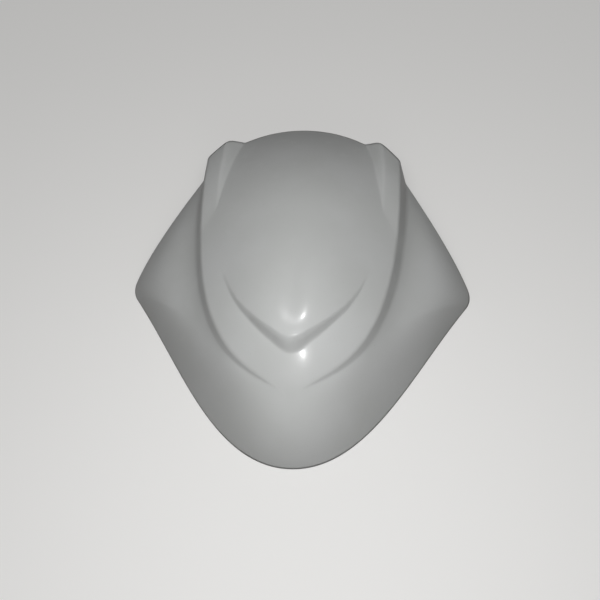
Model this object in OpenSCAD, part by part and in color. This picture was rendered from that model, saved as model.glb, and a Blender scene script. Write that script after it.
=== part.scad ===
// Motorcycle headlight fairing: one glass-fibre moulding, lying with its open side down.
// Millimetres. X runs across from the centre plane, Y from the chin to the top edge, and
// Z is the height above the plane that the lower rim lies in. A station is a distance
// from the chin edge, measured along Y, and a half width is measured from the centre plane.

/* [Shell] */
// Length from the chin edge to the top edge
shell_len = 415; // [395:1:435]
// Thickness of the moulding
wall = 3; // [2:0.1:4]
// Width across the wing tips, before their corners are rounded
shell_w = 422; // [390:1:450]

/* [Centre line] */
// Station of the highest point of the dome
peak_y = 243.5; // [225:0.5:260]
// Height of the highest point of the dome
peak_z = 142.5; // [125:0.5:160]
// Height of the top edge at the centre
top_z = 98; // [80:0.5:110]
// Slope of the centre line where it ends at the top edge
top_slope = -0.49; // [-0.7:0.01:-0.3]
// Station of the lower point of the raised panel
point_y = 47; // [40:0.5:55]
// Height of the lower point of the raised panel
point_z = 78.5; // [70:0.5:90]
// Slope of the centre line at the lower point of the raised panel
point_slope = 1.04; // [0.8:0.01:1.2]

/* [Crown] */
// Half width at which the crown has fallen by the drops below
crown_half = 119; // [110:1:130]
// Drop of the crown at the station of the lower point
crown_point = 67; // [55:1:80]
// Drop of the crown at the top edge
crown_top = 21; // [14:1:30]
// Share of the drop that grows with the fourth power of the half width
crown_flat = -0.2; // [-0.4:0.05:0.2]

/* [Raised panel] */
// Half width of the panel beside its lower point
panel_low_x = 70.5; // [60:0.5:80]
// Station that the panel edge is drawn to beside its lower point
panel_low_y = 79; // [70:0.5:90]
// Half width that the panel edge is drawn to where it turns upward
panel_turn_x = 115.5; // [105:0.5:125]
// Station that the panel edge is drawn to where it turns upward
panel_turn_y = 113; // [100:0.5:125]
// Half width of the panel at its top corners
panel_top_x = 117.5; // [112:0.5:125]
// Station of the panel's top corners
panel_top_y = 355; // [345:0.5:365]
// Depth of the step beside the panel at its top corners
step_depth = 28; // [20:0.5:34]
// Slant of the step at the lower point
step_low_w = 1.4; // [1:0.1:3]
// Slant of the step at the top corners
step_top_w = 10.5; // [8:0.5:14]
// Rounding of the panel edge at the lower point
edge_low_r = 2; // [1.5:0.1:3]
// Rounding of the panel edge at the top corners
edge_top_r = 3.5; // [2:0.1:5]
// Rounding of the foot of the step at the lower point
foot_low_r = 1.5; // [0.5:0.1:2.5]
// Rounding of the foot of the step at the top corners
foot_top_r = 5; // [3:0.1:7]

/* [Dome lip] */
// Station of the middle of the lip
lip_y = 86.5; // [80:0.5:95]
// Half width of the rounded middle of the lip
lip_round_x = 1; // [0:0.5:20]
// Station that the rounded middle of the lip is drawn to
lip_round_y = 82; // [76:0.5:90]
// Half width that the arms of the lip are drawn to
lip_arm_x = 195.5; // [180:0.5:205]
// Station that the arms of the lip are drawn to
lip_arm_y = 193; // [180:0.5:205]
// Half width at which the arms of the lip meet the top edge
lip_top_x = 68; // [62:0.5:74]
// Station at which the arms of the lip meet the top edge
lip_top_y = 364; // [355:0.5:372]
// Height of the lip at its middle
lip_h = 13.5; // [8:0.5:17]
// Width of the face under the lip at its middle
lip_w = 6.5; // [5:0.5:9]
// Width of the face under the lip along its arms
lip_arm_w = 3; // [2.5:0.1:5]
// Rounding of the edge of the lip
lip_edge_r = 2.2; // [1.5:0.1:3]
// Rounding between the face under the lip and the panel
lip_foot_r = 1.5; // [0.5:0.1:2.5]

/* [Horns] */
// Height of the two horns at the top edge
horn_h = 17; // [10:0.5:22]
// Width of the inner face of a horn at the top edge
horn_w = 20; // [14:0.5:24]
// Rounding of the crest of a horn
horn_crest_r = 5; // [4:0.5:8]
// Distance that the fold beside a horn is drawn inward of the lip, halfway up the horn
horn_in = 6; // [0:0.5:9]

/* [Lower rim] */
// Half width that the rounded chin is drawn to
chin_x = 82.5; // [70:0.5:95]
// Half width that the flank of the chin is drawn to
flank_x = 130.5; // [120:0.5:140]
// Station that the flank of the chin is drawn to
flank_y = 114.5; // [105:0.5:125]
// Station of the wing tip
tip_y = 223.5; // [212:0.5:232]
// Distance from the wing tip at which its rounding starts
tip_round = 15; // [8:0.5:22]

/* [Upper rim] */
// Half width that the upper rim of the wing is drawn to
upper_x = 183.5; // [175:0.5:192]
// Station that the upper rim of the wing is drawn to
upper_y = 264; // [255:0.5:272]
// Height that the upper rim of the wing is drawn to
upper_z = 43; // [36:0.5:50]

/* [Wing slopes] */
// Slope of the wing beside the step
wing_root_slope = -0.73; // [-0.9:0.01:-0.5]
// Slope of the shell at the chin edge
chin_slope = -3.2; // [-3.8:0.1:-2.4]
// Slope of the wing at its tip
tip_slope = -1.32; // [-1.6:0.01:-1]
// Slope of the wing at the upper end of its rim
upper_slope = -0.96; // [-1.2:0.01:-0.7]

/* [Hidden] */

// The shell is drawn along rays that leave the centre line, t = 0 at the chin and t = 1 at
// the top edge. TIP_FROM and TIP_TO bound the rounding of the wing tip.
TIP_FROM = 0.52;
TIP_TO = 0.62;
RAYS_BELOW_TIP = 18;
RAYS_ROUND_TIP = 6;
RAYS_ABOVE_TIP = 14;
RAYS = concat(
    [for (i = [0:RAYS_BELOW_TIP - 1]) TIP_FROM*i/RAYS_BELOW_TIP],
    [for (i = [0:RAYS_ROUND_TIP - 1]) mix(TIP_FROM, TIP_TO, i/RAYS_ROUND_TIP)],
    [for (i = [0:RAYS_ABOVE_TIP]) mix(TIP_TO, 1, i/RAYS_ABOVE_TIP)]);

// Facets along a ray: the dome, the face under its lip, the panel, and the wing past the step
DOME_FACETS = 9;
LIP_FACETS = 2;
PANEL_FACETS = 5;
ROUND_FACETS = 2;
WING_FACETS = 10;

// Rays at which the lip has narrowed to its arms and faded out, where the horns start, and
// between which the rays start to curve toward the top edge
LIP_NARROW = 0.3;
LIP_END = 0.62;
HORN_START = 0.8;
BEND_START = 0.35;
BEND_END = 0.95;

// How the dome swells toward its lip and rolls over just above it
NOSE_SWELL = 3;
NOSE_ROLL = 0.5;
// How fast the lip narrows away from its middle, and how its face hollows
NARROW_RATE = 1.5;
LIP_CURL = 1.2;
// The face under the lip ends at least this far inside the rounded panel edge
LIP_ROOM = 4;
// How closely the rays start near the lip
SPINE_RATE = 1.5;

// How fast the step widens along the panel edge
WIDTH_RATE = 1.6;
// Ray at which the step has left the crown
STEP_START = 0.12;

// Height of the panel edge above the crown beside a horn, as a share of the horn
HORN_FOOT = 0.66;
// How fast a horn rises toward the top edge
HORN_RATE = 1.3;
// Rays over which the wing takes on its slopes beside the step, at the flank and at the tip
ROOT_END = 0.5;
FLANK_END = 0.45;
UPPER_START = 0.6;
// A rounding takes up no more than this share of what it lies on
ROUND_SHARE = 0.4;
// The upper rim ends this far past the foot of the step, across, along and down
RIM_END = [2, -2, -2];
// The rays start this far above the middle between the lip and the middle of the shell
POLE_LIFT = 45;

function mix(a, b, k) = a + (b - a)*k;
function clamp(a) = min(max(a, 0), 1);
function smooth(a) = let (c = clamp(a)) c*c*(3 - 2*c);
function unit(v) = v/norm(v);
function along(station) = station - shell_len/2;

// Point of a Bezier curve with any number of control points
function bezier(p, t) =
    len(p) == 1 ? p[0] : bezier([for (i = [0:len(p) - 2]) mix(p[i], p[i + 1], t)], t);

// Cubic from height a with slope sa to height b with slope sb, over a length, at share k
function cubic(a, sa, b, sb, length, k) =
    let (k2 = k*k, k3 = k2*k)
    (2*k3 - 3*k2 + 1)*a + (k3 - 2*k2 + k)*sa*length
        + (3*k2 - 2*k3)*b + (k3 - k2)*sb*length;

// Height of the centre line, which climbs to the peak and falls to the top edge
function centre_z(y) =
    let (low = along(point_y), high = along(peak_y), top = shell_len/2)
    y < high
        ? cubic(point_z, point_slope, peak_z, 0, high - low, (y - low)/(high - low))
        : cubic(peak_z, 0, top_z, top_slope, top - high, (y - high)/(top - high));

// Height of the crowned surface that the dome and the panel are parts of
function crown_z(x, y) =
    let (low = along(point_y),
         drop = mix(crown_point, crown_top, (y - low)/(shell_len/2 - low)),
         u = abs(x)/crown_half)
    centre_z(y) - drop*mix(u*u, u*u*u*u, crown_flat);

// Plan curves of the panel edge and the dome lip
PANEL = [[0, along(point_y)], [panel_low_x, along(panel_low_y)],
         [panel_turn_x, along(panel_turn_y)], [panel_top_x, along(panel_top_y)]];
LIP = [[0, along(lip_y)], [lip_round_x, along(lip_round_y)],
       [lip_arm_x, along(lip_arm_y)], [lip_top_x, along(lip_top_y)]];

// Outward direction of the panel edge in plan
function panel_out(t) =
    let (d = bezier([for (i = [0:2]) PANEL[i + 1] - PANEL[i]], t))
    t == 0 ? [0, -1] : unit([d.y, -d.x]);

// Foot of the step, on the wing side of the panel edge
function step_foot(t) =
    let (edge = bezier(PANEL, t),
         depth = step_depth*t,
         width = mix(step_low_w, step_top_w, pow(t, WIDTH_RATE)),
         foot = edge + panel_out(t)*width,
         ground = mix(foot, edge, smooth(t/STEP_START)))
    [foot.x, foot.y, crown_z(ground.x, ground.y) - depth];

// Edge of the whole shell: the chin and its flank, the rounded wing tip, the upper rim
function rim(t) =
    let (tip = [shell_w/2, along(tip_y), 0],
         flank = [flank_x, along(flank_y), 0],
         upper = [upper_x, along(upper_y), upper_z],
         tip_in = tip + unit(flank - tip)*tip_round,
         tip_out = tip + unit(upper - tip)*tip_round,
         chin = -shell_len/2)
    t < TIP_FROM ? bezier([[0, chin, 0], [chin_x, chin, 0], flank, tip_in], t/TIP_FROM)
    : t < TIP_TO ? bezier([tip_in, tip, tip_out], (t - TIP_FROM)/(TIP_TO - TIP_FROM))
    : bezier([tip_out, upper, step_foot(1) + RIM_END], (t - TIP_TO)/(1 - TIP_TO));

// Points that round a corner, after a point before it and up to a point past it
function rounded(before, corner, after) =
    [for (i = [1:ROUND_FACETS]) let (g = i/ROUND_FACETS)
        mix(mix(before, corner, g), mix(corner, after, g), g)];

// Share of the lip's height at share g of the dome
function nose(g) = (1 + NOSE_ROLL)*pow(g, NOSE_SWELL) - NOSE_ROLL*pow(g, 3*NOSE_SWELL);

// Outer surface along one ray, from the centre line to the rim
function ray(t) =
    let (pole = along(lip_y)/2 + POLE_LIFT,
         start = [0, mix(pole, shell_len/2, pow(t, SPINE_RATE))],
         edge = bezier(PANEL, t),
         reach = norm(edge - start),
         bend = smooth((t - BEND_START)/(BEND_END - BEND_START)),
         line = [start, edge, bend],
         horn_t = clamp((t - HORN_START)/(1 - HORN_START)),
         rise = lip_h*(1 - smooth(t/LIP_END)),
         horn = horn_h*pow(horn_t, HORN_RATE),
         middle = pow(clamp(1 - t/LIP_NARROW), NARROW_RATE),
         face_w = mix(lip_arm_w, lip_w, middle) + (horn_w - lip_arm_w)*horn_t,
         lip_r = min(mix(lip_foot_r, horn_crest_r, horn_t), ROUND_SHARE*face_w),
         turn = min(lip_edge_r, ROUND_SHARE*face_w),
         edge_r = mix(edge_low_r, edge_top_r, t),
         lip_reach = norm(bezier(LIP, t) - start) - horn_in*4*horn_t*(1 - horn_t),
         lip_at = min(lip_reach, reach - edge_r - face_w - lip_r - LIP_ROOM)/reach,
         face_end = lip_at + face_w/reach,
         dome_cut = 1 - turn/(lip_at*reach),
         dome = [for (i = [0:DOME_FACETS]) let (g = dome_cut*i/DOME_FACETS)
             on_panel(line, lip_at*g, rise*nose(g))],
         face = [for (i = [0:LIP_FACETS])
             on_face(line, lip_at, face_end, mix(turn, face_w - lip_r, i/LIP_FACETS)/face_w,
                     rise, horn)],
         past = face_end + lip_r/reach,
         panel = [for (i = [1:PANEL_FACETS])
             past_face(line, face_end, mix(past, 1 - edge_r/reach, i/PANEL_FACETS), horn)])
    concat(
        dome,
        rounded(dome[DOME_FACETS], on_panel(line, lip_at, rise), face[0]),
        [for (i = [1:LIP_FACETS]) face[i]],
        rounded(face[LIP_FACETS], on_panel(line, face_end, horn),
                past_face(line, face_end, past, horn)),
        panel,
        step(t, panel[PANEL_FACETS - 1], past_face(line, face_end, 1, horn), edge_r));

// Point at share k of a ray from the centre line to the panel edge, raised above the crown
function on_panel(line, k, lift) =
    let (start = line[0], edge = line[1],
         x = edge.x*k, y = start.y + (edge.y - start.y)*mix(k, k*k, line[2]))
    [x, y, crown_z(x, y) + lift];

// Point at share g of the face under the lip, which becomes the inner face of a horn
function on_face(line, lip_at, face_end, g, rise, horn) =
    on_panel(line, mix(lip_at, face_end, g), rise*(1 - pow(g, LIP_CURL)) + horn*g);

// Point of the panel outside that face
function past_face(line, face_end, k, horn) =
    on_panel(line, k, horn*mix(1, HORN_FOOT, (k - face_end)/(1 - face_end)));

// Points down the step beside the panel, with both its edges rounded, and out to the rim
function step(t, before, corner, edge_r) =
    let (foot = step_foot(t), end = rim(t), wall_h = norm(foot - corner),
         down = (foot - corner)/wall_h,
         foot_r = mix(foot_low_r, foot_top_r, t),
         upper = corner + down*min(edge_r, ROUND_SHARE*wall_h),
         lower = foot - down*min(foot_r, ROUND_SHARE*wall_h),
         length = norm([end.x - foot.x, end.y - foot.y]),
         cut = min(foot_r, ROUND_SHARE*length)/length)
    concat(
        rounded(before, corner, upper),
        [lower],
        rounded(lower, foot, on_wing(t, foot, end, cut)),
        [for (i = [1:WING_FACETS]) on_wing(t, foot, end, mix(cut, 1, i/WING_FACETS))]);

// Point at share g of the wing, from the foot of the step to the rim
function on_wing(t, foot, end, g) =
    let (run = [end.x - foot.x, end.y - foot.y], length = norm(run), d = run/length,
         panel_slope = (crown_z(foot.x + d.x, foot.y + d.y) - crown_z(foot.x - d.x, foot.y - d.y))/2,
         root = mix(panel_slope, wing_root_slope, smooth(t/ROOT_END)),
         low = mix(chin_slope, tip_slope, smooth(t/FLANK_END)),
         edge = mix(low, upper_slope, smooth((t - UPPER_START)/(1 - UPPER_START))))
    [foot.x + run.x*g, foot.y + run.y*g, cubic(foot.z, root, end.z, edge, length, g)];

// The outer surface on the +X side: one row of points for each ray
OUTER = [for (t = RAYS) ray(t)];
ROWS = len(OUTER) - 1;
COLS = len(OUTER[0]) - 1;

// Normal of one cell of the surface
function cell_normal(i, j) =
    unit(cross(OUTER[i][j + 1] - OUTER[i + 1][j], OUTER[i + 1][j + 1] - OUTER[i][j]));
CELLS = [for (i = [0:ROWS - 1]) [for (j = [0:COLS - 1]) cell_normal(i, j)]];

// Normal at a point, averaged over its cells and square to X on the centre plane. The top
// edge takes the directions of the ray before it.
function normal(i, j) =
    let (r = min(i, ROWS - 1),
         cells = [for (a = [max(r - 1, 0):r])
                  for (b = [max(j - 1, 0):min(j, COLS - 1)]) CELLS[a][b]],
         total = [for (c = cells) 1]*cells,
         level = i == 0 || j == 0 ? [0, total.y, total.z] : total)
    unit(level);

// The inner surface: one wall in from the outer one, and flat where the rim stands
function inset(i, j) =
    let (n = normal(i, j), p = OUTER[i][j], q = p - n*wall,
         flat = norm([n.x, n.y]),
         standing = [p.x - n.x*wall/(flat*flat), p.y - n.y*wall/(flat*flat), p.z])
    j < COLS ? q : mix(standing, q, smooth((RAYS[i] - TIP_FROM)/(TIP_TO - TIP_FROM)));
INNER = [for (i = [0:ROWS]) [for (j = [0:COLS]) inset(i, j)]];

// Both sides of a surface as one list: the centre line first, then a row for each ray,
// from the top edge on the -X side round the chin to the top edge on the +X side
function both_sides(rows) = concat(
    [for (i = [0:ROWS]) rows[i][0]],
    [for (k = [-ROWS:ROWS]) for (j = [1:COLS]) let (p = rows[abs(k)][j])
        k < 0 ? [-p.x, p.y, p.z] : p]);
COUNT = ROWS + 1 + (2*ROWS + 1)*COLS;
function at(k, j) = j == 0 ? abs(k) : ROWS + 1 + (k + ROWS)*COLS + j - 1;

// Two triangles for a four-sided cell, split the other way on the other side of the shell
function split(a, b, c, d, swap) = swap ? [[a, d, b], [b, d, c]] : [[a, c, b], [a, d, c]];

SKIN = [for (k = [-ROWS:ROWS - 1]) for (j = [0:COLS - 1])
    each split(at(k, j), at(k, j + 1), at(k + 1, j + 1), at(k + 1, j), k < 0)];
EDGE = concat(
    [for (k = [-ROWS:ROWS]) at(k, COLS)],
    [for (j = [COLS - 1:-1:0]) at(ROWS, j)],
    [for (j = [1:COLS - 1]) at(-ROWS, j)]);
RIM = [for (i = [0:len(EDGE) - 1])
    let (a = EDGE[i], b = EDGE[(i + 1)%len(EDGE)])
    each split(b, a, a + COUNT, b + COUNT, false)];

module fairing_shell() {
    color("whitesmoke")
    polyhedron(
        points = concat(both_sides(OUTER), both_sides(INNER)),
        faces = concat(
            SKIN,
            [for (f = SKIN) [f[2] + COUNT, f[1] + COUNT, f[0] + COUNT]],
            RIM),
        convexity = 6);
}

fairing_shell();
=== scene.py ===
# %% [markdown]
# A motorcycle headlight fairing is one moulding of glass fibre in polyester, laid up in a
# mould. The face against the mould comes out as smooth white gelcoat. The other face, the
# inside, shows the mat of cut strands under its resin. This script models the shell as one
# mesh and gives it those two finishes, and a third one to its cut edge.
#
# The first cell loads the imported solid, which fixes the size and the place of the shell.

# %% Frame
import math

import bpy
import numpy as np
from mathutils import Matrix, Vector


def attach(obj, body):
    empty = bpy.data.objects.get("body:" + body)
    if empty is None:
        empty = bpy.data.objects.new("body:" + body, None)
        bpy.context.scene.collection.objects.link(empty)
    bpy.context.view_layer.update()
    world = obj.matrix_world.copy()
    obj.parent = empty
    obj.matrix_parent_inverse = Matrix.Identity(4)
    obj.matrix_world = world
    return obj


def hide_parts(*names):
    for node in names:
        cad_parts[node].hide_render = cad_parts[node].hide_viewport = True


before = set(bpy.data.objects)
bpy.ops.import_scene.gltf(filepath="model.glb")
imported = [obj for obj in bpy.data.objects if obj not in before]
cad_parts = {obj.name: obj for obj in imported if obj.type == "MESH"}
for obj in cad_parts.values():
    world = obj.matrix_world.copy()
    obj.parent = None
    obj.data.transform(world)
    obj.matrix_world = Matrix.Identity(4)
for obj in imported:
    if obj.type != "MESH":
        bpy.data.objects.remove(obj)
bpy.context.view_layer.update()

# %% [markdown]
# The camera comes first, because every other choice is judged through it. The shell lies
# face up and the camera looks down on it from the chin side. A point and three angles could
# place it, but they say little to a reader. So it is placed by what a photographer would say:
# what it looks at and from how far, how steeply it looks down, and how much it turns and
# leans. The lens is measured in pixels of the picture and turned into millimetres.

# %% Camera
MM = 0.001
IMAGE_SIDE = 600
VIEW_TURN = math.radians(5.3)
VIEW_DROP = math.radians(55.0)
VIEW_LEAN = math.radians(-2.88)
VIEW_DISTANCE = 807.5*MM
VIEW_TARGET = Vector((3.2, -25.2, 52.3))*MM
FOCAL_PIXELS = 705.0
SENSOR = 36.0
NEAREST = 10*MM


def look_matrix(target, turn, drop, lean, distance):
    """Where a camera stands that looks at a target from the chin side, turned and leaning."""
    forward = Vector((-math.sin(turn)*math.cos(drop),
                      math.cos(turn)*math.cos(drop),
                      -math.sin(drop)))
    level = Vector((math.cos(turn), math.sin(turn), 0))
    over = level.cross(forward)
    right = math.cos(lean)*level + math.sin(lean)*over
    up = right.cross(forward)
    place = target - forward*distance
    columns = Matrix((right, up, -forward)).transposed()
    return Matrix.Translation(place) @ columns.to_4x4()


camera_data = bpy.data.cameras.new("camera")
camera_data.sensor_width = SENSOR
camera_data.lens = FOCAL_PIXELS/IMAGE_SIDE*SENSOR
camera_data.clip_start = NEAREST
camera = bpy.data.objects.new("camera", camera_data)
camera.matrix_world = look_matrix(VIEW_TARGET, VIEW_TURN, VIEW_DROP, VIEW_LEAN, VIEW_DISTANCE)
bpy.context.scene.collection.objects.link(camera)
bpy.context.scene.camera = camera
print("lens, mm:", round(camera_data.lens, 2))

# %% [markdown]
# The shell is drawn the way a pattern maker would loft it. It could also be pulled from a
# coarse cage and smoothed, but that makes every fold equally soft, and here each fold changes
# its width and depth all the way along. So a few curves in plan carry the shape: the dome's
# lip, the edge of the raised panel, and the rim. Rays leave the centre line and cross those
# curves one after another, and each ray has its own profile in height.
#
# The sizes are in millimetres and are the ones that the solid is made from. Three things are
# finer here: the V of the lip is sharper, the step fades out at the chin, and the wing tip is
# set in by 0.15 mm so that its rounder curve stays inside the solid's box.
#
# A station is a distance from the chin edge, and x is measured from the centre plane. The
# place of a ray is a share t, from 0 at the chin to 1 at the top edge. A value whose name says
# start, end or most is such a share.

# %% Length
LENGTH = 415.0


def along(station):
    """Place of a station when the middle of the shell is at 0."""
    return station - LENGTH/2


def plan(points):
    """The same points with the place of their station, which is the second number."""
    return [(p[0], along(p[1]), *p[2:]) for p in points]


print("chin edge and top edge, mm:", along(0), along(LENGTH))

# %% [markdown]
# Three small curves do all the work. A Bezier curve draws an outline from a few control
# points, a cubic joins two heights with a chosen slope at each end, and a smooth step fades
# one thing into another. Blender's curve objects could draw the outlines, but the profiles
# need heights and slopes between the outlines too, and a formula gives those anywhere.

# %% Curves
def smooth(a):
    """0 below 0, 1 above 1, and a smooth rise between."""
    a = np.clip(a, 0, 1)
    return a*a*(3 - 2*a)


def mix(a, b, k):
    """a where k is 0, b where it is 1, and evenly between."""
    return a + (b - a)*k


def unit(v):
    return v/np.linalg.norm(v)


def bezier(points, t):
    """Points of a Bezier curve, one row for each value of t."""
    layer = [np.asarray(p, float)*np.ones((len(t), 1)) for p in points]
    k = np.asarray(t)[:, None]
    while len(layer) > 1:
        layer = [mix(a, b, k) for a, b in zip(layer, layer[1:])]
    return layer[0]


def cubic(a, slope_a, b, slope_b, length, k):
    """Height at share k of a length, between two heights with a slope at each end."""
    return ((2*k**3 - 3*k**2 + 1)*a + (k**3 - 2*k**2 + k)*slope_a*length
            + (3*k**2 - 2*k**3)*b + (k**3 - k**2)*slope_b*length)


print("the smooth step at a quarter, a half and three quarters:", smooth([0.25, 0.5, 0.75]))

# %% [markdown]
# The crown is the smooth hill that the dome and the panel both belong to. Its centre line
# climbs from the lower point of the panel to the peak and falls to the top edge, and it drops
# away to both sides, more at the point than at the top. It could be sculpted, but as a formula
# it also tells how high the foot of the step lies and how steeply the wing leaves it.

# %% Crown
PEAK = dict(station=243.5, z=142.5)
TOP = dict(z=98.0, slope=-0.49)
POINT = dict(station=47.0, z=78.5, slope=1.04)
CROWN = dict(half=119.0, point=67.0, top=21.0, flat=-0.2)


def centre_z(y):
    """Height of the crown on the centre line."""
    low, high, top = along(POINT["station"]), along(PEAK["station"]), LENGTH/2
    climb = cubic(POINT["z"], POINT["slope"], PEAK["z"], 0, high - low, (y - low)/(high - low))
    fall = cubic(PEAK["z"], 0, TOP["z"], TOP["slope"], top - high, (y - high)/(top - high))
    return np.where(y < high, climb, fall)


def crown_z(x, y):
    """Height of the crown at any place."""
    low = along(POINT["station"])
    drop = mix(CROWN["point"], CROWN["top"], (y - low)/(LENGTH/2 - low))
    u = np.abs(x)/CROWN["half"]
    return centre_z(y) - drop*mix(u**2, u**4, CROWN["flat"])


print("the crown on the centre line and 80 mm beside it, mm:",
      np.round(crown_z(np.array([0.0, 80.0]), np.zeros(2)), 1))

# %% [markdown]
# The raised panel ends in a step that runs from the chin to the top edge on each side. On the
# real shell that fold is what keeps a thin moulding stiff. It has no depth at the chin and is
# deepest at the top. Its foot could be drawn as a curve of its own, but then the two could
# cross. So the foot is the panel edge moved outward and down, more with every ray. At the
# chin the foot lies on the crown itself, so that the step fades away there.

# %% Panel edge and step
PANEL = [(0, 47.0), (70.5, 79.0), (115.5, 113.0), (117.5, 355.0)]
STEP = dict(depth=28.0, low_w=1.4, top_w=10.5, width_rate=1.6, start=0.12)


def panel_out(t):
    """Direction square to the panel edge in plan, away from the panel."""
    p = np.array(plan(PANEL))
    d = bezier(p[1:] - p[:-1], t)
    out = np.stack([d[:, 1], -d[:, 0]], 1)
    out /= np.linalg.norm(out, axis=1)[:, None]
    # On the centre plane it has to point straight at the chin, so that the halves meet.
    out[t == 0] = (0, -1)
    return out


def step_foot(t):
    """Foot of the step, on the wing side of the panel edge."""
    edge = bezier(plan(PANEL), t)
    width = mix(STEP["low_w"], STEP["top_w"], t**STEP["width_rate"])
    foot = edge + panel_out(t)*width[:, None]
    ground = mix(foot, edge, smooth(t/STEP["start"])[:, None])
    depth = STEP["depth"]*t*smooth(t/STEP["start"])
    return np.column_stack([foot, crown_z(ground[:, 0], ground[:, 1]) - depth])


print("foot of the step at the top edge, mm:", np.round(step_foot(np.array([1.0]))[0], 1))

# %% [markdown]
# The rim is the edge where the moulding is trimmed: from the chin out along the flank, round
# the wing tip and back in to the foot of the step. One curve could follow all of that, but it
# would smear the small round of the tip into its neighbours. So the flank, the tip and the
# upper rim are three curves, which meet in the same direction.

# %% Rim
CHIN_X = 82.5
FLANK = (130.5, 114.5, 0)
TIP = (210.85, 223.5, 0)
TIP_ROUND = 15.0
UPPER = (183.5, 264.0, 43.0)
RIM_END = (2.0, -2.0, -2.0)
TIP_START, TIP_END = 0.52, 0.62


def rim(t):
    """Edge of the whole shell, where ray t meets it."""
    flank, tip, upper = (np.array(p) for p in plan([FLANK, TIP, UPPER]))
    tip_in = tip + unit(flank - tip)*TIP_ROUND
    tip_out = tip + unit(upper - tip)*TIP_ROUND
    chin = -LENGTH/2
    end = step_foot(np.array([1.0]))[0] + RIM_END
    low = bezier([(0, chin, 0), (CHIN_X, chin, 0), flank, tip_in], t/TIP_START)
    turn = bezier([tip_in, tip, tip_out], (t - TIP_START)/(TIP_END - TIP_START))
    high = bezier([tip_out, upper, end], (t - TIP_END)/(1 - TIP_END))
    return np.where((t < TIP_START)[:, None], low, np.where((t < TIP_END)[:, None], turn, high))


print("widest point of the rim, mm:", rim(np.linspace(0, 1, 400))[:, 0].max().round(1))

# %% [markdown]
# Now the rays. They could all start from one point, like spokes, but the last one has to lie
# along the top edge. So their starts move along the centre line, slowly at first from a pole
# above the chin, and then on to the top edge. Toward the top each ray also bends, so that it
# leaves the centre line square to it and the two halves meet without a crease. The rays lie
# closest together round the wing tip, which is short and tightly curved.

# %% Rays
LIP = [(0, 86.5), (1.0, 82.0), (195.5, 193.0), (68.0, 364.0)]
POLE_LIFT = 45.0
SPINE_RATE = 1.5
BEND_START, BEND_END = 0.35, 0.95
FLANK_RAYS, TIP_RAYS, UPPER_RAYS = 60, 16, 60

rays = np.concatenate([np.linspace(0, TIP_START, FLANK_RAYS, endpoint=False),
                       np.linspace(TIP_START, TIP_END, TIP_RAYS, endpoint=False),
                       np.linspace(TIP_END, 1, UPPER_RAYS + 1)])
pole = along(LIP[0][1])/2 + POLE_LIFT
ray_start = np.column_stack([0*rays, mix(pole, LENGTH/2, rays**SPINE_RATE)])
panel_edge = bezier(plan(PANEL), rays)
reach = np.linalg.norm(panel_edge - ray_start, axis=1)
bend = smooth((rays - BEND_START)/(BEND_END - BEND_START))


def on_crown(k, lift):
    """The point at share k of each ray, from the centre line to the panel edge."""
    x = panel_edge[:, 0]*k
    y = ray_start[:, 1] + (panel_edge[:, 1] - ray_start[:, 1])*mix(k, k**2, bend)
    return np.column_stack([x, y, crown_z(x, y) + lift])


print("rays on one half:", len(rays), "and their reach, mm:", reach.min().round(1), "to",
      reach.max().round(1))

# %% [markdown]
# The V-shaped lip under the dome and the two horns at the top edge look like three features,
# and could be modelled as three. On the shell they are one fold. Under the dome its face falls
# to the panel, beside the dome it fades out, and at the top the same face rises instead, as
# the inner side of a horn. So one set of values along the rays serves them all: how high the
# fold is, how wide its face is, how large its roundings are, and where on the ray it lies.
#
# Both arms of the lip are drawn a little inward, which makes the V sharper, and so is the foot
# of each horn's face, most of all halfway along the horn. Where there is little room left, the
# face stays clear of the panel edge.

# %% Lip and horns along the rays
LIP_FACE = dict(height=13.5, w=6.5, arm_w=3.0, head_round=2.2, foot_round=1.5, room=4.0,
                curl=1.2, narrow_end=0.3, narrow_rate=1.5, end=0.62)
LIP_POINT = dict(inward=3.8, most=0.14, end=0.5)
HORN = dict(height=17.0, w=20.0, crest_round=5.0, inward=6.0, share_at_step=0.66,
            start=0.8, rate=1.3)
EDGE_ROUND = dict(low=2.0, top=3.5)
ROUND_SHARE = 0.4


def arch(k):
    """0 at both ends and 1 in the middle."""
    return 4*k*(1 - k)


up_horn = np.clip((rays - HORN["start"])/(1 - HORN["start"]), 0, 1)
lip_height = LIP_FACE["height"]*(1 - smooth(rays/LIP_FACE["end"]))
horn_height = HORN["height"]*up_horn**HORN["rate"]

middle = np.clip(1 - rays/LIP_FACE["narrow_end"], 0, 1)**LIP_FACE["narrow_rate"]
face_w = (mix(LIP_FACE["arm_w"], LIP_FACE["w"], middle)
          + (HORN["w"] - LIP_FACE["arm_w"])*up_horn)
lip_r = np.minimum(LIP_FACE["head_round"], ROUND_SHARE*face_w)
crest_r = np.minimum(mix(LIP_FACE["foot_round"], HORN["crest_round"], up_horn),
                     ROUND_SHARE*face_w)
edge_r = mix(EDGE_ROUND["low"], EDGE_ROUND["top"], rays)

past_most = (rays - LIP_POINT["most"])/(LIP_POINT["end"] - LIP_POINT["most"])
on_arm = smooth(rays/LIP_POINT["most"])*(1 - smooth(past_most))
inward = HORN["inward"]*arch(up_horn) + LIP_POINT["inward"]*on_arm
lip_reach = np.linalg.norm(bezier(plan(LIP), rays) - ray_start, axis=1) - inward
lip_at = np.minimum(lip_reach, reach - edge_r - face_w - crest_r - LIP_FACE["room"])/reach
face_end = lip_at + face_w/reach
print("height of the lip and of the horns, mm:", lip_height.max(), horn_height.max())

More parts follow.
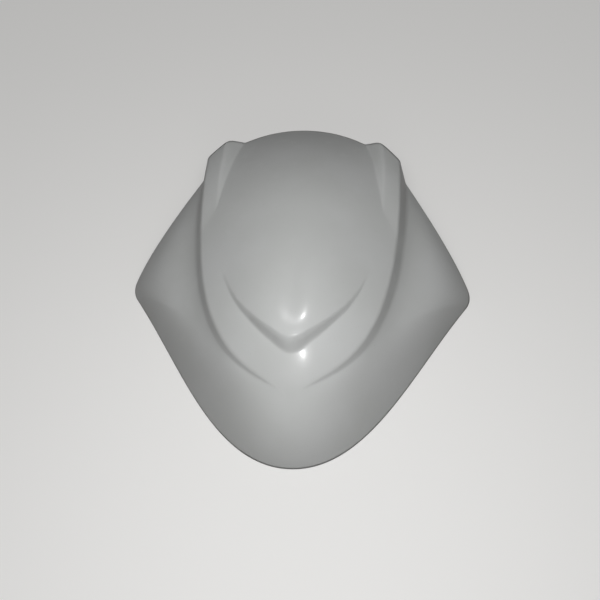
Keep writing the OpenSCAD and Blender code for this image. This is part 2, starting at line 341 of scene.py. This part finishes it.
# %% [markdown]
# The profiles are read from the middle outward. First the dome swells toward its lip and rolls
# level there, and the face under the lip drops to the panel.
#
# Every fold gets its own small rounding, drawn with several points. A mould can't be polished
# into a sharp corner and gelcoat would chip off one, and it is in these roundings that the
# light catches. A Bevel modifier could cut them, but with one width for the whole edge. Here
# they grow and shrink with the fold.

# %% Dome and lip
NOSE = dict(swell=3.0, roll=0.5, roll_rate=9.0)
DOME_POINTS, LIP_TURN, FACE_POINTS = 44, 6, 10


def shares(count, first=1):
    """Equal steps up to 1. The first is left out where the piece before already ends there."""
    return np.arange(first, count + 1)/count


def rounded(before, corner, after, count):
    """Points of the curve that rounds a corner, between a point before and one after it."""
    return [mix(mix(before, corner, g), mix(corner, after, g), g) for g in shares(count)]


def nose(g):
    """Share of the lip's height at share g of the dome, level at the lip."""
    return (1 + NOSE["roll"])*g**NOSE["swell"] - NOSE["roll"]*g**NOSE["roll_rate"]


def on_face(g):
    """The point at share g of the face, which falls at the lip and rises at a horn."""
    lift = lip_height*(1 - g**LIP_FACE["curl"]) + horn_height*g
    return on_crown(mix(lip_at, face_end, g), lift)


dome_cut = 1 - lip_r/(lip_at*reach)
dome = [on_crown(lip_at*dome_cut*g, lip_height*nose(dome_cut*g)) for g in shares(DOME_POINTS, 0)]
lip = rounded(dome[-1], on_face(0), on_face(lip_r/face_w), LIP_TURN)
lip += [on_face(mix(lip_r/face_w, 1 - crest_r/face_w, g)) for g in shares(FACE_POINTS)]
print("highest point of the dome, mm:", np.max(dome, axis=(0, 1))[2].round(1))

# %% [markdown]
# Beyond the face the panel runs out to its edge. Under the dome it lies on the crown itself.
# Beside the dome's top it is the outer side of the horn, which comes down from the crest but
# is still well above the crown where the step begins. One formula gives both, because the
# horn's height is 0 on the lower rays.

# %% Crest and panel
CREST_TURN, PANEL_POINTS = 4, 26


def past_face(k):
    """The point at share k of each ray, on the panel beyond the face."""
    g = (k - face_end)/(1 - face_end)
    return on_crown(k, horn_height*mix(1, HORN["share_at_step"], g))


crest_end = face_end + crest_r/reach
panel_cut = 1 - edge_r/reach
panel = rounded(lip[-1], on_face(1), past_face(crest_end), CREST_TURN)
panel += [past_face(mix(crest_end, panel_cut, g)) for g in shares(PANEL_POINTS)]
print("horn above the crown at the step, mm:",
      (horn_height*HORN["share_at_step"]).max().round(1))

# %% [markdown]
# The wall of the step is straight from the panel edge to the foot, with a rounding at its head
# and one at its foot. Both grow with the step, the one at the foot more, because glass mat
# won't lie over a sharp ridge of the mould. Near the chin the wall is only a few millimetres
# long. There both roundings shrink with it, each to a fixed share of the wall, so that they
# never meet.

# %% Wall of the step
FOOT_ROUND = dict(low=1.5, top=5.0)
HEAD_TURN, WALL_POINTS = 8, 4

corner, foot = past_face(1), step_foot(rays)
wall_w = np.linalg.norm(foot - corner, axis=1)
down = (foot - corner)/wall_w[:, None]
foot_r = mix(FOOT_ROUND["low"], FOOT_ROUND["top"], rays)
wall_top = corner + down*np.minimum(edge_r, ROUND_SHARE*wall_w)[:, None]
wall_low = foot - down*np.minimum(foot_r, ROUND_SHARE*wall_w)[:, None]
step = rounded(panel[-1], corner, wall_top, HEAD_TURN)
step += [mix(wall_top, wall_low, g) for g in shares(WALL_POINTS)]
print("wall of the step at the chin and at the top edge, mm:", wall_w[[0, -1]].round(1))

# %% [markdown]
# The wing is one curved sheet from the foot of the step to the rim. A straight ruled sheet
# would be simpler, but the real one turns down toward its edge, and out at the wing tip it is
# a little hollow near the step. So its height is a cubic with a chosen slope at both ends. At
# the chin it leaves with the slope of the crown, because the surface runs on there without a
# step. At the rim it is steepest at the chin, gentler at the wing tip and gentlest along the
# upper rim.

# %% Wing
WING = dict(root=-0.73, chin=-3.2, tip=-1.32, upper=-0.96,
            root_end=0.5, flank_end=0.45, upper_start=0.6)
FOOT_TURN, WING_POINTS = 8, 46

edge = rim(rays)
run = edge[:, :2] - foot[:, :2]
wing_w = np.linalg.norm(run, axis=1)
ahead = run/wing_w[:, None]
crown_slope = (crown_z(*(foot[:, :2] + ahead).T) - crown_z(*(foot[:, :2] - ahead).T))/2
root_slope = mix(crown_slope, WING["root"], smooth(rays/WING["root_end"]))
flank_slope = mix(WING["chin"], WING["tip"], smooth(rays/WING["flank_end"]))
up_rim = smooth((rays - WING["upper_start"])/(1 - WING["upper_start"]))
rim_slope = mix(flank_slope, WING["upper"], up_rim)


def on_wing(g):
    """The point at share g of the way from the foot of the step to the rim."""
    height = cubic(foot[:, 2], root_slope, edge[:, 2], rim_slope, wing_w, g)
    return np.column_stack([foot[:, :2] + run*np.reshape(g, (-1, 1)), height])


foot_cut = np.minimum(foot_r, ROUND_SHARE*wing_w)/wing_w
wing = rounded(wall_low, foot, on_wing(foot_cut), FOOT_TURN)
wing += [on_wing(mix(foot_cut, 1, g)) for g in shares(WING_POINTS)]
outer = np.stack(dome + lip + panel + step + wing, 1)
print("width of the wing at the chin and its most, mm:", wing_w[0].round(1), wing_w.max().round(1))
print("rays and points along each:", outer.shape[:2])

# %% [markdown]
# Laid-up glass has the same thickness everywhere, so the inside is the outside moved in by
# one wall along its own direction. The Solidify modifier does much the same, but it can't
# level the lower rim or soften the folds, and the real inside needs both. Where the rim stands
# on the floor, the wall is cut level. Glass can't be pressed into a sharp inner corner, so the
# directions are eased across each fold.
#
# A direction is averaged over the cells round each point. On the centre plane it stays in the
# plane, so that the two halves meet without a seam.

# %% Inner surface
WALL = 3.0
EASE_PASSES = 3
TINY = 1e-12


def surface_normals(grid):
    """Outward direction at each point. The last ray takes that of the ray before it."""
    cell = np.cross(grid[:-1, 1:] - grid[1:, :-1], grid[1:, 1:] - grid[:-1, :-1])
    cell /= np.maximum(np.linalg.norm(cell, axis=-1, keepdims=True), TINY)
    total = np.zeros_like(grid)
    for a in (0, 1):
        for b in (0, 1):
            total[a:len(grid) - 1 + a, b:grid.shape[1] - 1 + b] += cell
    total[-1] = total[-2]
    total[0, :, 0] = 0
    total[:, 0, 0] = 0
    return total/np.linalg.norm(total, axis=-1, keepdims=True)


def eased(n):
    """Directions that change more gently along each ray than the outer folds do."""
    for _ in range(EASE_PASSES):
        n = n.copy()
        n[:, 1:-1] = (n[:, :-2] + 2*n[:, 1:-1] + n[:, 2:])/4
        n /= np.linalg.norm(n, axis=-1, keepdims=True)
    return n


def inner_surface(grid):
    """The outer surface moved in by one wall, and level where the rim stands."""
    n = eased(surface_normals(grid))
    moved = grid - n*WALL
    flat = n[:, -1, :2]
    standing = grid[:, -1].copy()
    standing[:, :2] -= flat*WALL/(flat**2).sum(1)[:, None]
    k = smooth((rays - TIP_START)/(TIP_END - TIP_START))[:, None]
    moved[:, -1] = mix(standing, moved[:, -1], k)
    return moved


inner = inner_surface(outer)
print("mean distance between the surfaces, mm:",
      np.linalg.norm(outer - inner, axis=-1).mean().round(3))

# %% [markdown]
# One half is drawn and the other is its mirror image. A Mirror modifier could add it and weld
# the seam by distance. Here the points on the centre line are shared from the start, and so is
# every edge, so the mesh is one closed skin with nothing to weld: the outside, the inside and
# the cut edge between them. A point is known by its ray and its number along the ray, and the
# rays of the mirrored side count below 0.

# %% Points of the shell
last_ray, last_point = outer.shape[0] - 1, outer.shape[1] - 1


def both_sides(grid):
    """The centre line first, then the rays from the far top edge round to the near one."""
    mirrored = grid[::-1]*np.array([-1, 1, 1])
    full = np.concatenate([mirrored[:-1], grid])
    return np.concatenate([grid[:, 0], full[:, 1:].reshape(-1, 3)])


def number(ray, point):
    """Number in the mesh of a point of the skin. The lining's points follow the skin's."""
    if point == 0:
        return abs(ray)
    return last_ray + 1 + (ray + last_ray)*last_point + point - 1


points = np.concatenate([both_sides(outer), both_sides(inner)])*MM
print("points of the shell:", len(points))

# %% [markdown]
# The faces follow from those numbers. The skin is a grid of four-sided faces, the lining is
# the same grid turned over, and the cut edge joins the two along their border. Each of the
# three takes its own finish. The skin and the lining are shaded smooth and the cut edge isn't,
# so that the trimmed corners stay crisp.

# %% Faces of the shell
def border():
    """Numbers of the outer points round the edge: along the rim, then across the top."""
    return ([number(ray, last_point) for ray in range(-last_ray, last_ray + 1)]
            + [number(last_ray, point) for point in range(last_point - 1, -1, -1)]
            + [number(-last_ray, point) for point in range(1, last_point)])


def shell_mesh():
    """The skin, the lining and the cut edge as one closed mesh."""
    lining_shift = len(points)//2
    skin = [(number(ray, j), number(ray, j + 1), number(ray + 1, j + 1), number(ray + 1, j))
            for ray in range(-last_ray, last_ray) for j in range(last_point)]
    lining = [tuple(v + lining_shift for v in reversed(face)) for face in skin]
    ring = border()
    cut = [(b, a, a + lining_shift, b + lining_shift) for a, b in zip(ring, ring[1:] + ring[:1])]
    mesh = bpy.data.meshes.new("shell")
    mesh.from_pydata(points.tolist(), [], skin + lining + cut)
    mesh.validate()
    kinds = [0]*len(skin) + [1]*len(lining) + [2]*len(cut)
    mesh.polygons.foreach_set("material_index", kinds)
    mesh.polygons.foreach_set("use_smooth", [kind < 2 for kind in kinds])
    mesh.update()
    return mesh


shell = bpy.data.objects.new("shell", shell_mesh())
bpy.context.scene.collection.objects.link(shell)
print("triangles:", sum(len(face.vertices) - 2 for face in shell.data.polygons))

# %% [markdown]
# A finish is built from a few masks, and masks are sums and products. Every Math node could be
# added and linked by hand, but then nobody sees the formula. The class below wraps the output
# of a node so that a formula can be written as plain Python: it adds its own Math nodes.

# %% Shader maths
def abilities(kind):
    """Names of what a class can do, for the printed notes."""
    return [name.strip("_") for name, what in vars(kind).items() if callable(what)]


class Value:
    """An output of a shader node, which takes part in Python arithmetic."""

    def __init__(self, tree, socket):
        self.tree, self.socket = tree, socket

    def maths(self, operation, *others):
        return self.tree.node("ShaderNodeMath", {"operation": operation}, (self, *others))

    def __add__(self, other):
        return self.maths("ADD", other)

    __radd__ = __add__

    def __mul__(self, other):
        return self.maths("MULTIPLY", other)

    __rmul__ = __mul__

    def __sub__(self, other):
        return self.maths("SUBTRACT", other)

    def __rsub__(self, other):
        return self.tree.node("ShaderNodeMath", {"operation": "SUBTRACT"}, (other, self))

    def larger(self, other):
        return self.maths("MAXIMUM", other)

    def fade(self, low, high):
        """0 below low, 1 above high, and a smooth rise between."""
        return self.tree.node("ShaderNodeMapRange", {"interpolation_type": "SMOOTHSTEP"},
                              {"Value": self, "From Min": low, "From Max": high})


print("what a value can do:", abilities(Value))

# %% [markdown]
# The finishes, the floor and the sky are all node trees, so one class looks after them. One
# method makes any node: it takes the kind, the settings, which come first, and what goes into
# the sockets, a number or another node's output alike. Colours are blended with a Mix node,
# because a Math node would turn them grey.

# %% Nodes
class NodeTree:
    """The nodes of a material or of the sky, added one call at a time."""

    def __init__(self, owner, last):
        owner.use_nodes = True
        self.owner = owner
        self.nodes = owner.node_tree.nodes
        self.links = owner.node_tree.links
        self.last = self.nodes[last]

    def put(self, socket, value):
        if isinstance(value, Value):
            self.links.new(value.socket, socket)
        else:
            socket.default_value = value

    def node(self, kind, settings, inputs, output=0):
        made = self.nodes.new(kind)
        for key, value in settings.items():
            setattr(made, key, value)
        pairs = inputs.items() if isinstance(inputs, dict) else enumerate(inputs)
        for key, value in pairs:
            self.put(made.inputs[key], value)
        return Value(self, made.outputs[output])

    def blend(self, factor, a, b):
        """Colour a where factor is 0, colour b where it is 1. The sockets go by number,
        because the Mix node has one set of them for each kind of data."""
        return self.node("ShaderNodeMix", {"data_type": "RGBA"}, {0: factor, 6: a, 7: b}, 2)

    def finish(self, **sockets):
        """Feed the last node. A socket's name is written with _ for each space."""
        for name, value in sockets.items():
            self.put(self.last.inputs[name.replace("_", " ")], value)
        print(self.owner.name, "nodes:", len(self.nodes))
        return self.owner


print("what a node tree can do:", abilities(NodeTree))

# %% [markdown]
# What varies over the moulding is of two kinds, patches and streaks. Painted maps could hold
# them, but they would need the shell unwrapped flat and would blur close up. Noise on Object
# coordinates needs neither, and its scale is a real size, because it counts per metre. Noise
# that is squeezed in one direction gives streaks in the other. A fade then picks out its high
# places as a mask.

# %% Patches and streaks
class Finish(NodeTree):
    """A material whose patterns stay fixed to the moulding."""

    def __init__(self, name):
        super().__init__(bpy.data.materials.new(name), "Principled BSDF")
        self.place = self.node("ShaderNodeTexCoord", {}, {}, "Object")

    def noise(self, scale, detail, place=None):
        return self.node("ShaderNodeTexNoise", {}, {
            "Vector": place or self.place, "Scale": scale, "Detail": detail})

    def patches(self, scale, detail, low, high):
        """Soft-edged patches where the noise is high."""
        return self.noise(scale, detail).fade(low, high)

    def streaks(self, turn, across, lengthwise):
        """Noise drawn out into streaks, turned about the upright axis."""
        turned = self.node("ShaderNodeVectorRotate", {"rotation_type": "Z_AXIS"}, {
            "Vector": self.place, "Angle": turn})
        squeezed = self.node("ShaderNodeMapping", {}, {
            "Vector": turned, "Scale": (across, lengthwise, lengthwise)})
        return self.noise(scale=1.0, detail=2.0, place=squeezed)

    def bump(self, height, strength, distance):
        return self.node("ShaderNodeBump", {}, {
            "Height": height, "Strength": strength, "Distance": distance})


print("what a finish can do besides:", abilities(Finish))

# %% [markdown]
# Gelcoat is pigmented resin, brushed into the mould before the glass. It is smooth and even,
# and one flat white would pass from far away. But it is never flawless. The colour clouds a
# little where the coat is thinner, the strands behind it print through as a faint ripple,
# handling leaves scuffs and hairlines that take the shine off, and some dust settles. The
# clouds and the dust go to the colour, the scuffs, hairlines and dust to the roughness, and
# the ripple to the bump. The thin coat on top is the polish, which the scuffs have worn.

# %% Gelcoat
WHITE = (0.660, 0.671, 0.665, 1)
THIN_WHITE = (0.622, 0.634, 0.622, 1)
DUST_GREY = (0.50, 0.49, 0.46, 1)
CLOUDS = dict(scale=11.0, detail=3.0, low=0.35, high=0.7)
SCUFFS = dict(scale=38.0, detail=9.0, low=0.58, high=0.75)
DUST = dict(scale=900.0, detail=2.0, low=0.68, high=0.74)
DUST_COVER = 0.5
HAIRLINES = dict(turn=0.35, across=1500.0, lengthwise=25.0)
HAIRLINE_FADE = (0.71, 0.76)
PRINT_TURNS = (0.6, -0.9)
PRINT = dict(across=900.0, lengthwise=60.0)
PEEL = dict(scale=420.0, detail=1.0)
PRINT_HEIGHT, PEEL_HEIGHT = 0.5, 0.6
RIPPLE = dict(strength=0.035, distance=0.6*MM)
POLISHED, SCUFFED, SCRATCHED, DUSTY = 0.28, 0.1, 0.15, 0.2
COAT, COAT_WORN, COAT_ROUGH = 0.5, 0.3, 0.15


def gelcoat():
    s = Finish("gelcoat")
    cloud = s.patches(**CLOUDS)
    scuff = s.patches(**SCUFFS)
    dust = DUST_COVER*s.patches(**DUST)
    hair = s.streaks(**HAIRLINES).fade(*HAIRLINE_FADE)
    strands = s.streaks(PRINT_TURNS[0], **PRINT) + s.streaks(PRINT_TURNS[1], **PRINT)
    ripple = PRINT_HEIGHT*strands + PEEL_HEIGHT*s.noise(**PEEL)
    return s.finish(Base_Color=s.blend(dust, s.blend(cloud, THIN_WHITE, WHITE), DUST_GREY),
                    Roughness=POLISHED + SCUFFED*scuff + SCRATCHED*hair + DUSTY*dust,
                    Normal=s.bump(ripple, **RIPPLE),
                    Coat_Weight=COAT - COAT_WORN*scuff, Coat_Roughness=COAT_ROUGH)


shell.data.materials.append(gelcoat())

# %% [markdown]
# Inside, the moulding shows how it was made. Chopped-strand mat is a felt of glass strands
# some fifty millimetres long that lie in every direction. Under the resin they read as short
# pale streaks that cross. Real strands could be scattered as thin curves, but they lie inside
# the resin and hardly stand out from it. So stretched noise gives one direction of streaks,
# and four of them, each turned by its own angle, give the mat. Where more resin lies on it,
# the mat is paler and glossier. The cut edge is the same laminate, sanded dull.

# %% Laminate
STRAND_TURNS = (0.1, 0.95, 1.7, 2.5)
STRANDS = dict(across=420.0, lengthwise=28.0)
STRAND_FADE = (0.52, 0.66)
RESIN = dict(scale=14.0, detail=4.0, low=0.3, high=0.7)
STRAND_SHARE = 0.65
DULL, STRAND_ROUGH = 0.62, 0.1
RESIN_HEIGHT = 0.5
RELIEF = dict(strength=0.45, distance=1.2*MM)
INSIDE = dict(name="glass_mat", dark=(0.36, 0.35, 0.28, 1), pale=(0.60, 0.59, 0.51, 1),
              gloss=0.25)
CUT_EDGE = dict(name="cut_edge", dark=(0.42, 0.41, 0.34, 1), pale=(0.58, 0.57, 0.50, 1),
                gloss=0.0)


def laminate(name, dark, pale, gloss):
    s = Finish(name)
    mat, *others = [s.streaks(turn, **STRANDS).fade(*STRAND_FADE) for turn in STRAND_TURNS]
    for other in others:
        mat = mat.larger(other)
    resin = s.patches(**RESIN)
    shade = STRAND_SHARE*mat + (1 - STRAND_SHARE)*resin
    return s.finish(Base_Color=s.blend(shade, dark, pale),
                    Roughness=DULL - gloss*resin + STRAND_ROUGH*mat,
                    Normal=s.bump(mat + RESIN_HEIGHT*resin, **RELIEF))


for part in (INSIDE, CUT_EDGE):
    shell.data.materials.append(laminate(**part))
print("finishes of the skin, the lining and the cut edge:", shell.data.materials.keys())

# %% [markdown]
# The floor is plain and pale, but a pale floor would throw light back under the shell and
# wash out its edges. A light path node tells which kind of ray asks for the colour. The
# camera and the mirror images get the pale floor, and the light that bounces gets a dull one.
# Part of the pale colour glows by itself, and the rest takes the shadow of the shell.

# %% Floor
FLOOR_SIDE = 12.0
PALE_FLOOR = (0.50, 0.497, 0.49, 1)
DULL_FLOOR = (0.13, 0.125, 0.12, 1)
FLOOR_GLOW = (0.40, 0.397, 0.39, 1)
BLACK = (0, 0, 0, 1)
MIRRORED = 0.4


def seen_directly(s):
    """1 for the camera and through glass, less for mirror images, 0 for bounced light."""
    kinds = ("Is Camera Ray", "Is Glossy Ray", "Is Transmission Ray")
    eye, mirror, glass = (s.node("ShaderNodeLightPath", {}, {}, kind) for kind in kinds)
    return (eye + MIRRORED*mirror + glass).fade(0, 1)


def pale_floor():
    h = FLOOR_SIDE/2
    mesh = bpy.data.meshes.new("floor")
    mesh.from_pydata([(-h, -h, 0), (h, -h, 0), (h, h, 0), (-h, h, 0)], [], [(0, 1, 2, 3)])
    s = NodeTree(bpy.data.materials.new("floor"), "Principled BSDF")
    seen = seen_directly(s)
    mesh.materials.append(s.finish(Base_Color=s.blend(seen, DULL_FLOOR, PALE_FLOOR),
                                   Roughness=0.9, Specular_IOR_Level=0.0,
                                   Emission_Color=s.blend(seen, BLACK, FLOOR_GLOW),
                                   Emission_Strength=1.0))
    return bpy.data.objects.new("floor", mesh)


floor = pale_floor()
bpy.context.scene.collection.objects.link(floor)
print("floor, seen and as a light:", PALE_FLOOR[:3], DULL_FLOOR[:3])

# %% [markdown]
# The shell was lit from beside the lens, so surfaces that face the camera are brightest and
# the steep walls of the steps go dark. One large lamp could give the shading and the shine
# together, but then the shine would be a broad patch. So two wide soft lamps, the stronger
# one just above the lens and the weaker one below it, give the shading. Two small lamps give
# the spots of shine, one on the dome and one under the lip, and each stands where the gelcoat
# mirrors it toward the camera. The wide lamps leave no mirror image, and the small ones
# nothing else.

# %% Lamps
def beside_lens(right, up):
    return camera.matrix_world @ Vector((right, up, 0))


def soft_lamp(name, place, size, watts, kind):
    """A round lamp that gives only plain light, or only its mirror image on the gelcoat."""
    data = bpy.data.lights.new(name, "AREA")
    data.shape = "DISK"
    data.size = size
    data.energy = watts
    lamp = bpy.data.objects.new(name, data)
    lamp.location = place
    lamp.visible_glossy = kind == "shine"
    lamp.visible_diffuse = kind == "light"
    lamp.rotation_euler = (VIEW_TARGET - place).to_track_quat("-Z", "Y").to_euler()
    bpy.context.scene.collection.objects.link(lamp)
    print(name, "lamp, watts:", watts, "and metres to the shell:",
          round((VIEW_TARGET - place).length, 2))


soft_lamp("key", beside_lens(-0.01, 0.12), size=0.3, watts=3.65, kind="light")
soft_lamp("fill", beside_lens(0.0, -0.25), size=0.3, watts=0.75, kind="light")
soft_lamp("low shine", beside_lens(0.086, -0.115), size=0.04, watts=0.75, kind="shine")
soft_lamp("top shine", Vector((0.07, 0.0, 1.12)), size=0.05, watts=1.7, kind="shine")

# %% [markdown]
# The sky follows the floor: pale to the camera, and nearly dark as a source of light. A photo
# of a real sky would light the shell from all round and flatten its folds. The pale tone is
# the one that the floor reaches far away, so that no horizon shows behind the shell.

# %% Sky
PALE_SKY = (0.432, 0.429, 0.422, 1)
DARK_SKY = (0.07, 0.07, 0.07, 1)

world = bpy.data.worlds.new("sky")
sky = NodeTree(world, "Background")
sky.finish(Color=sky.blend(seen_directly(sky), DARK_SKY, PALE_SKY))
bpy.context.scene.world = world
bpy.context.scene.view_settings.view_transform = "Standard"
print("sky, seen and as a light:", PALE_SKY[:3], DARK_SKY[:3])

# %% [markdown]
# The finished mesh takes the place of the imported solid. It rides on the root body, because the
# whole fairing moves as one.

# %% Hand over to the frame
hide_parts("fairing_shell")
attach(shell, "root")
